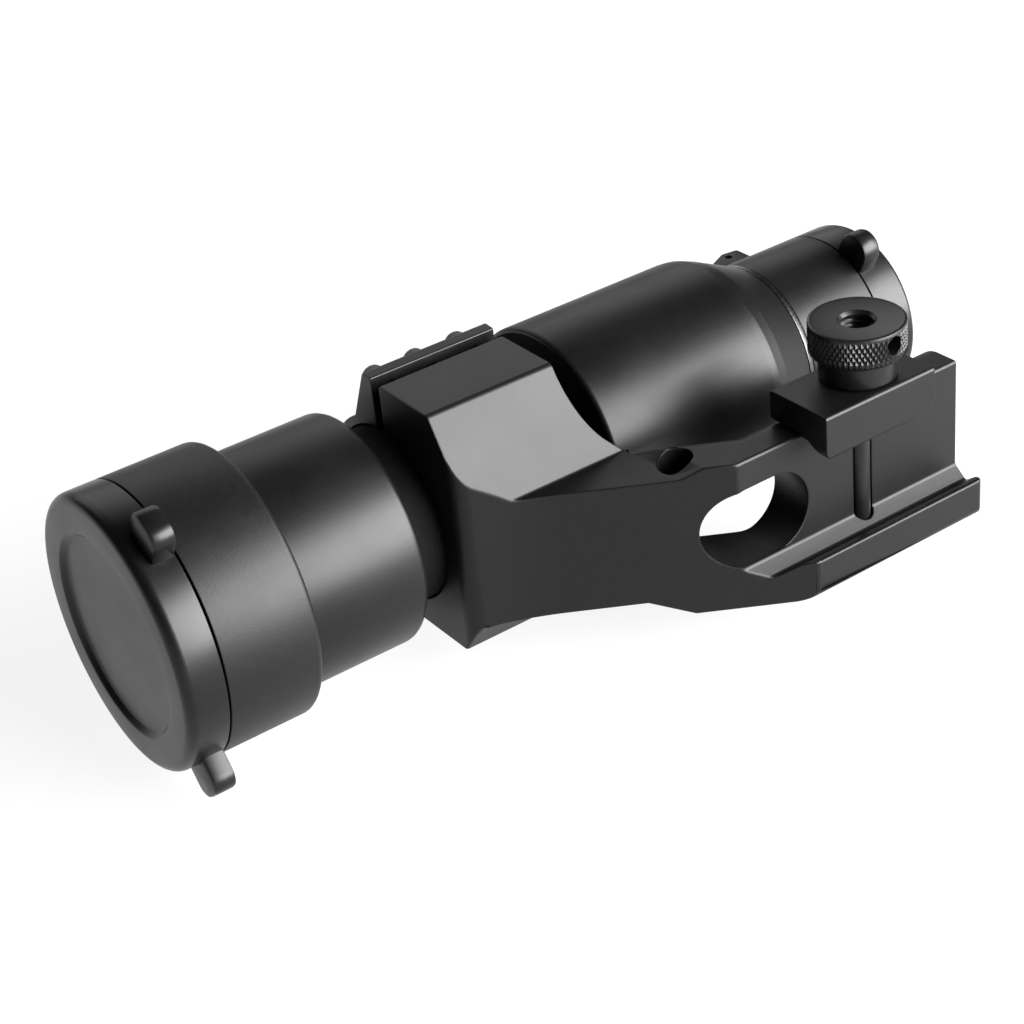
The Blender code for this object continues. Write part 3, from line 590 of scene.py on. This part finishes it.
def clamp_bolt():
    """The cross bolt, with a thread at its nut and a hexagon socket in its head."""
    low, high = BOLT_LOW.z, BOLT_HIGH.z
    head_r, shank_r, pitch = (BOLT_HIGH.x - BOLT_LOW.x) / 2, 1.8, 0.7
    thread = []
    z = 14.0
    while z < high - 0.7:
        thread += [(z, shank_r), (z + pitch / 2, shank_r - 0.3)]
        z += pitch
    profile = rounded([(low, 0), (low, head_r - 0.4, 0.3), (-13.9, head_r, 0.2),
                       (-13.6, head_r), (-13.6, shank_r)], 4, closed=False)
    profile += thread + [(high - 0.5, shank_r - 0.1), (high, shank_r - 0.5), (high, 0)]
    made = lathe('cross_bolt', profile, CLAMP_AXIS, SMALL)
    combine(made, hexagon(low - 1, low + 1.9, 3.4, CLAMP_AXIS))
    smooth(made, 30)
    shown(made, SCREW_BLACK, 'mount', ['clamp_bolt'])


def clamp_jaw():
    """The moving jaw, with its hooked front edge."""
    base = BASE_Z[1] + GAP
    tip = JAW_LOW.z
    front = rounded([
        (JAW_LOW.y, 13), (JAW_LOW.y, tip + 0.2, 0.5), (JAW_LOW.y + 1.5, tip, 0.3),
        (-1.8, JAW_LEDGE_Z), (-GAP, JAW_LEDGE_Z), (-GAP, base), (JAW_HIGH.y, base, 0.3),
        (JAW_HIGH.y, JAW_HIGH.z, 0.6), (JAW_LOW.y, JAW_HIGH.z, 0.6)], 5)
    made = plate('jaw_plate', front, JAW_LOW.x, JAW_HIGH.x, FLAT_YZ)
    outline = rounded([(JAW_LOW.x, tip, 1.6), (JAW_HIGH.x, tip, 2.6), (JAW_HIGH.x, 20),
                       (JAW_LOW.x, 20)], 8)
    combine(made, plate('jaw_front', outline, -20, 20, FLAT_XZ), 'INTERSECT')
    combine(made, rod(0, 30, BOLT_HOLE_R, CLAMP_AXIS))
    ease_edges(made, 0.25)
    shown(made, MOUNT_BLACK, 'jaw', ['clamp_jaw'])


def clamp_nut():
    """The thumb nut: diamond knurl, threaded bore and a cross hole for a bar."""
    low, high = NUT_LOW.z, NUT_HIGH.z
    rim = high - 5.5
    hub_r, bore_r, pitch, depth, thread_depth = 6.4, 2.7, 0.9, 0.3, 0.5
    sides, rows = 112, 7
    cross_z, cross_r, cross_turn = 23.8, 1.6, -84
    knurl_low, knurl_high = rim + 0.4, high - 0.6
    outer = rounded([(low, bore_r), (low, hub_r, 0.3), (rim, hub_r, 0.2), (rim, NUT_R - 0.4),
                     (knurl_low - 0.1, NUT_R - 0.05)], 4, closed=False)[1:]
    first = len(outer)
    outer += [(knurl_low + (knurl_high - knurl_low) * k / (rows - 1), NUT_R) for k in range(rows)]
    outer += rounded([
        (knurl_high, NUT_R), (knurl_high + 0.1, NUT_R - 0.05), (high - 0.1, NUT_R - 0.12, 0.1),
        (high, NUT_R - 0.5), (high - 0.12, NUT_R - 0.9), (high - 0.12, bore_r + 0.5, 0.1),
        (high - 0.7, bore_r)], 3, closed=False)[1:]
    top = len(outer)
    count = 34            # rings of the thread, four to a turn
    inner = [(high - 0.9 - pitch / 4 * k, bore_r) for k in range(count)] + [(low, bore_r)]

    def relief(i, k):
        """Radius to take off: diamond valleys outside, a helical thread inside."""
        if first <= k < first + rows:
            edge = k in (first, first + rows - 1)
            return depth if edge or (i + k) % 2 == 0 else 0
        if top <= k < top + count:
            turn = ((k - top) / 4 + i / sides) % 1.0
            fade = min(1.0, (k - top) / 3, (top + count - 1 - k) / 3)
            return -thread_depth * abs(turn * 2 - 1) * fade
        return 0

    made = lathe('thumb_nut', outer + inner, CLAMP_AXIS, sides, relief)
    height = Matrix.Translation((0, 0, cross_z * MM))
    across = (Matrix.Rotation(math.radians(cross_turn), 4, 'Z')
              @ Matrix.Rotation(math.pi / 2, 4, 'Y'))
    combine(made, rod(4.2, 9, cross_r, CLAMP_AXIS @ height @ across))
    smooth(made, 24)
    shown(made, NUT_BLACK, 'nut', ['clamp_nut'])


# ---------------------------------------------------------------- housings

def turned(name, corners, axis, paint, body, node, sides=ROUND, steps=5):
    """A turned piece that stands for one CAD node, solid if its corners start on the axis."""
    closed = corners[0][1] != 0
    made = lathe(name, rounded(corners, steps, closed=closed), axis, sides)
    return shown(made, paint, body, [node])


def housings():
    """Bell, barrel, main tube, taper, lock ring and eyepiece housing."""
    seam = REAR_SEAM_X
    mouth_x = BELL_LOW.x
    seat_x = CAP_HIGH.x + GAP
    turned('bell', [
        (mouth_x, MOUTH_R, 0.4), (seat_x, MOUTH_R), (seat_x, BELL_R, 0.2),
        (BELL_HIGH.x, BELL_R, 1.2),
        (BELL_HIGH.x, BELL_BORE_R[1]), (BELL_STEP_X, BELL_BORE_R[1]),
        (BELL_STEP_X, BELL_BORE_R[0]), (mouth_x, BELL_BORE_R[0])],
        ALONG_X, BLASTED, 'mount', 'objective_bell')
    shoulder_x = BELL_HIGH.x + GAP
    turned('barrel', [
        (BARREL_LOW.x, BARREL_SOCKET_R), (shoulder_x, BARREL_SOCKET_R),
        (shoulder_x, BARREL_R, 0.15), (BARREL_HIGH.x, BARREL_R, 1.8), (BARREL_HIGH.x, BORE_R),
        (BARREL_STEP_X, BORE_R), (BARREL_STEP_X, BARREL_BORE_R), (BARREL_LOW.x, BARREL_BORE_R)],
        ALONG_X, SATIN, 'mount', 'front_barrel')
    body_bore_r = BODY_R - BODY_WALL
    tube = turned('tube', [
        (TUBE_LOW.x, NECK_R), (BODY_FRONT_X, NECK_R), (BODY_FRONT_X, BODY_R, 0.8),
        (TUBE_HIGH.x - 2.4, BODY_R, 2.0), (TUBE_HIGH.x - 0.9, BODY_R - 0.15, 1.0),
        (TUBE_HIGH.x, EDGE_R), (TUBE_HIGH.x, body_bore_r), (BODY_STEP_X, body_bore_r),
        (BODY_STEP_X, TUBE_BORE_R), (TUBE_LOW.x, TUBE_BORE_R)],
        ALONG_X, SATIN, 'mount', 'main_tube')
    # The neck and the step behind it get the barely reflective flat black as painted shade,
    # standing in for the shadow in the recess between the barrel and the ring block
    tube.data.materials.append(MATT_BLACK_AND_SHADE)
    shaded_neck_end_z = BODY_FRONT_X * MM + 0.00001
    for face in tube.data.polygons:
        face.material_index = int(face.center.z < shaded_neck_end_z)
    # The pieces behind the tube almost touch, so that no light shows through their joints
    start = TUBE_HIGH.x + 0.08
    turned('taper', [
        (TAPER_SPIGOT_X, TAPER_SPIGOT_R[1]), (start, TAPER_SPIGOT_R[1]), (start, EDGE_R - 0.1),
        (TUBE_HIGH.x + 1.4, 19.93, 0.6), (TAPER_HIGH.x, TAPER_END_R, 0.2),
        (TAPER_HIGH.x, EYE_MOUTH_R), (TAPER_BORE_X, EYE_MOUTH_R),
        (start + 0.5, TAPER_SPIGOT_R[0]), (TAPER_SPIGOT_X, TAPER_SPIGOT_R[0])],
        ALONG_X, SATIN, 'mount', 'taper_adapter')
    low, high = span('joint_ring')
    low.x, high.x = low.x - 0.22, high.x + 0.22
    turned('lock_ring', [
        (low.x, TAPER_END_R - 0.2, 0.1), (low.x + 0.15, TAPER_END_R, 0.1),
        (high.x, REAR_R + 0.1, 0.1), (high.x, EYE_MOUTH_R), (low.x, EYE_MOUTH_R)],
        ALONG_X, RING_STEEL, 'mount', 'joint_ring')
    sleeve_r = EYE_MOUTH_R - GAP
    rear = turned('rear_barrel', [
        (REAR_LOW.x, sleeve_r), (REAR_FRONT_X, sleeve_r), (REAR_FRONT_X, REAR_R, 0.3),
        (seam, REAR_R, 0.15), (seam, EYE_MOUTH_R), (REAR_HIGH.x, EYE_MOUTH_R, 0.4),
        (REAR_HIGH.x, REAR_BORE_R), (REAR_LOW.x, REAR_BORE_R)],
        ALONG_X, SATIN, 'mount', 'eyepiece_housing')
    for axis in TURRETS.values():
        combine(rear, rod(10, 20, 3.0, axis))


def ear(angle, low_r, high_r, width, corner, low, high):
    """A pull ear with rounded rims, as a tool that is joined to a cap."""
    half = width / 2
    outline = rounded([(low_r, -half), (high_r, -half, corner), (high_r, half, corner),
                       (low_r, half)], 8)
    turn = Matrix.Rotation(math.radians(180 - angle), 4, 'Z')
    place = Matrix.Translation((0, AXIS_Y * MM, 0)) @ FLAT_YZ @ turn
    return plate('ear', outline, low, high, place, 0.6)


def caps():
    """The two push-on lens caps with their pull ears."""
    front, back, bore_r = CAP_LOW.x, CAP_HIGH.x, MOUTH_R + GAP
    made = turned('objective_cap', [
        (front + 0.9, 0), (front + 0.9, 16.2, 0.8), (front, 17.3, 0.8), (front, BELL_R, 1.8),
        (back, BELL_R, 0.15), (back, bore_r), (front + 2.0, bore_r), (front + 2.0, 0)],
        ALONG_X, CAP_BLACK, 'front_cap', 'front_cap', steps=8)
    for angle in FRONT_EARS:
        combine(made, ear(angle, 22.7, 28.9, 7.2, 2.6, -110.4, back), 'UNION')
    smooth(made, 38)
    front, back, bore_r = REAR_CAP_LOW.x, REAR_CAP_HIGH.x, EYE_MOUTH_R + GAP
    made = turned('eyepiece_cap', [
        (back - 1.1, 0), (back - 1.1, bore_r), (front, bore_r), (front, REAR_R, 0.15),
        (back, REAR_R, 1.0), (back, 11.6, 0.3), (back - 0.4, 11.2, 0.3), (back - 0.4, 0)],
        ALONG_X, CAP_BLACK, 'rear_cap', 'rear_cap', steps=6)
    for angle in REAR_EARS:
        combine(made, ear(angle, 15.4, 21.4, 6.6, 3.2, front, 37.4), 'UNION')
    smooth(made, 38)


# ---------------------------------------------------------------- adjusters and glass

def boss(name, axis):
    """An adjuster's boss on the eyepiece housing, with its neck, bore and lock hole."""
    outline = rounded([(-BOSS_HALF, 8), (BOSS_HALF, 8), (BOSS_HALF, BOSS_TOP - 0.5, 0.6),
                       (0.4, BOSS_TOP, 0.8), (-BOSS_HALF, BOSS_TOP - 2.1, 0.5)])
    base = plate(name + '_boss', outline, -BOSS_END, BOSS_END, axis @ FLAT_XZ, 0.25)
    combine(base, rod(16.0, BOSS_NECK_TOP, BOSS_NECK_R, axis), 'UNION')
    combine(base, rod(5, 25, BOSS_BORE_R, axis))
    combine(base, rod(0, 50, REAR_R + GAP, ALONG_X, ROUND))
    corner = Matrix.Translation((0.5 * MM, 0, 17.0 * MM))
    combine(base, rod(6, 12, LOCK_HOLE_R, axis @ corner @ Matrix.Rotation(math.pi / 2, 4, 'X')))
    smooth(base)
    shown(base, SATIN, 'mount', [name + '_turret_base'])


def screw_cap(name, axis):
    """An adjuster's ribbed screw cap."""
    profile = rounded([
        (22.1, 0), (22.1, SCREW_CAP_BORE_R), (19.3, SCREW_CAP_BORE_R), (19.3, 4.85, 0.15),
        (19.9, SCREW_CAP_R), (22.4, SCREW_CAP_R), (23.0, 4.3, 0.3), (23.0, 0)], 3, closed=False)
    ribbed = [k for k, (along, r) in enumerate(profile) if abs(r - SCREW_CAP_R) < 0.01]

    def relief(i, k):
        """Radius to take off at one side in three."""
        return 0.25 if k in ribbed and i % 3 == 0 else 0

    made = lathe(name + '_screw_cap', profile, axis, 72, relief)
    shown(made, SATIN, name + '_cap', [name + '_turret_cap'])


def dial(name, axis):
    """An adjuster's brass dial, with a slot for a coin."""
    inner_r, outer_r = DIAL_SHAFT_R
    made = turned(name + '_adjuster', [
        (19.0, 0), (19.0, inner_r), (14.2, inner_r), (14.2, outer_r), (20.9, outer_r),
        (20.9, DIAL_R, 0.1), (21.8, DIAL_R, 0.2), (21.8, 0)],
        axis, BRASS, name + '_dial', name + '_dial', SMALL, 3)
    combine(made, plate('slot', [(-4, -0.35), (4, -0.35), (4, 0.35), (-4, 0.35)], 21.3, 23, axis))
    smooth(made)


def lens(node, radius, rim, front_bulge, rear_bulge, paint):
    """A lens with curved faces. rim is where its edge starts and ends along X."""
    shares = [i / 10 for i in range(11)]
    front = [(rim[0] - front_bulge * (1 - share ** 2), radius * share) for share in shares]
    rear = [(rim[1] + rear_bulge * (1 - share ** 2), radius * share) for share in shares]
    made = lathe(node + '_glass', front + rear[::-1], ALONG_X)
    shown(made, paint, 'mount', [node])


def glass_and_rings():
    """The lenses and rings that show when a cap is off."""
    lens('objective_crown_lens', 20.0, (-104.5, -102.6), 1.6, 1.4, OBJECTIVE_GLASS)
    lens('objective_flint_lens', 20.0, (-100.1, -97.0), -1.0, -0.6, OBJECTIVE_GLASS)
    lens('eyepiece_field_lens', 12.4, (31.5, 32.8), 0.2, 1.4, EYE_GLASS)
    lens('eyepiece_eye_lens', 12.4, (35.0, 36.6), 0.1, 1.4, EYE_GLASS)
    for node, inner in (('objective_retaining_ring', 18.4), ('eyepiece_retaining_ring', 11.2)):
        low, high = span(node)
        outer = (high.y - low.y) / 2
        made = turned(node + '_turned', [
            (low.x, outer), (high.x, outer), (high.x, inner + 0.3), (high.x - 0.3, inner, 0.1),
            (low.x + 0.3, inner, 0.1), (low.x, inner + 0.3)],
            ALONG_X, MATT_BLACK_AND_SHADE, 'mount', node, ROUND, 3)
        # Slots for a wrench, in the face that looks out of the housing
        face_x = low.x if low.x < 0 else high.x
        place = Matrix.Translation((face_x * MM, AXIS_Y * MM, 0)) @ FLAT_YZ
        slots = [(-30, -0.8), (30, -0.8), (30, 0.8), (-30, 0.8)]
        combine(made, plate('wrench_slots', slots, -0.7, 0.7, place))
        smooth(made)


def inner_finishes():
    """Node-based finishes for the inner pieces that stay as they are."""
    slots = {'matt_black': MATT_BLACK_AND_SHADE, 'brass': BRASS, 'spring_steel': WIRE, 'seal_rubber': SEAL,
             'optical_glass': PLAIN_GLASS, 'black_steel': SCREW_BLACK, 'black_anodised': SATIN,
             'cap_rubber': CAP_BLACK}
    for part in frame['record']['subparts']:
        node = frame['nodes'][part['node']]
        if not node.hide_render:
            node.data.materials.clear()
            node.data.materials.append(slots[part['material_slot']])


mount()
ring_strap()
ring_screws()
clamp_bolt()
clamp_jaw()
clamp_nut()
housings()
caps()
for adjuster, adjuster_axis in TURRETS.items():
    boss(adjuster, adjuster_axis)
    screw_cap(adjuster, adjuster_axis)
    dial(adjuster, adjuster_axis)
glass_and_rings()
inner_finishes()


# ---------------------------------------------------------------- studio

def studio():
    """A pale floor and a dim white surround."""
    size = 2500
    low_z = min(cad_box[0].z, -0.0265)
    floor = solid('floor', [(-size, -size, 0), (size, -size, 0), (size, size, 0), (-size, size, 0)],
                  [(0, 1, 2, 3)], Matrix.Translation((0, 0, low_z)))
    paint = bpy.data.materials.new('floor_white')
    paint.use_nodes = True
    shader = paint.node_tree.nodes['Principled BSDF']
    shader.inputs['Base Color'].default_value = (0.12, 0.12, 0.12, 1)
    shader.inputs['Roughness'].default_value = 0.9
    shader.inputs['Emission Color'].default_value = (1, 1, 1, 1)
    shader.inputs['Emission Strength'].default_value = 0.85
    floor.data.materials.append(paint)
    world = bpy.data.worlds.new('studio')
    world.use_nodes = True
    background = world.node_tree.nodes['Background']
    background.inputs['Color'].default_value = (1, 1, 1, 1)
    background.inputs['Strength'].default_value = 0.06
    bpy.context.scene.world = world


def softbox(name, aim, direction, distance, size, radiance):
    """A rectangular light at a distance from the point it faces, in millimetres."""
    light = bpy.data.lights.new(name, 'AREA')
    light.shape = 'RECTANGLE'
    light.size, light.size_y = size[0] * MM, size[1] * MM
    light.energy = radiance * math.pi * light.size * light.size_y
    made = bpy.data.objects.new(name, light)
    towards = Vector(direction).normalized()
    made.rotation_mode = 'QUATERNION'
    made.rotation_quaternion = towards.to_track_quat('Z', 'Y')
    made.location = (Vector(aim) + towards * distance) * MM
    bpy.context.scene.collection.objects.link(made)


def camera(place, azimuth, elevation, roll, focal):
    """A camera from its place in millimetres and its angles in degrees."""
    az, el, ro = (math.radians(a) for a in (azimuth, elevation, roll))
    level = Vector((math.cos(az), math.sin(az), 0))
    ahead = Vector((-math.sin(az) * math.cos(el), math.cos(az) * math.cos(el), -math.sin(el)))
    upright = level.cross(ahead)
    right = math.cos(ro) * level + math.sin(ro) * upright
    up = math.cos(ro) * upright - math.sin(ro) * level
    data = bpy.data.cameras.new('camera')
    data.lens = focal
    data.sensor_width = 36
    data.clip_start, data.clip_end = 0.01, 20
    made = bpy.data.objects.new('camera', data)
    made.rotation_mode = 'QUATERNION'
    made.rotation_quaternion = Matrix((right, up, -ahead)).transposed().to_quaternion()
    made.location = Vector(place) * MM
    bpy.context.scene.collection.objects.link(made)
    bpy.context.scene.camera = made


studio()
softbox('key', aim=(-30, 20, 0), direction=(0.50, -0.78, 0.34), distance=700, size=(800, 540),
        radiance=27)
softbox('back', aim=(-30, 20, 0), direction=(0.15, 0.82, 0.5), distance=800, size=(1100, 500),
        radiance=1.4)
camera((-212.8, -231.9, 188.6), azimuth=-32.44, elevation=31.45, roll=-6.32, focal=78.0)
bpy.context.scene.view_settings.view_transform = 'Standard'
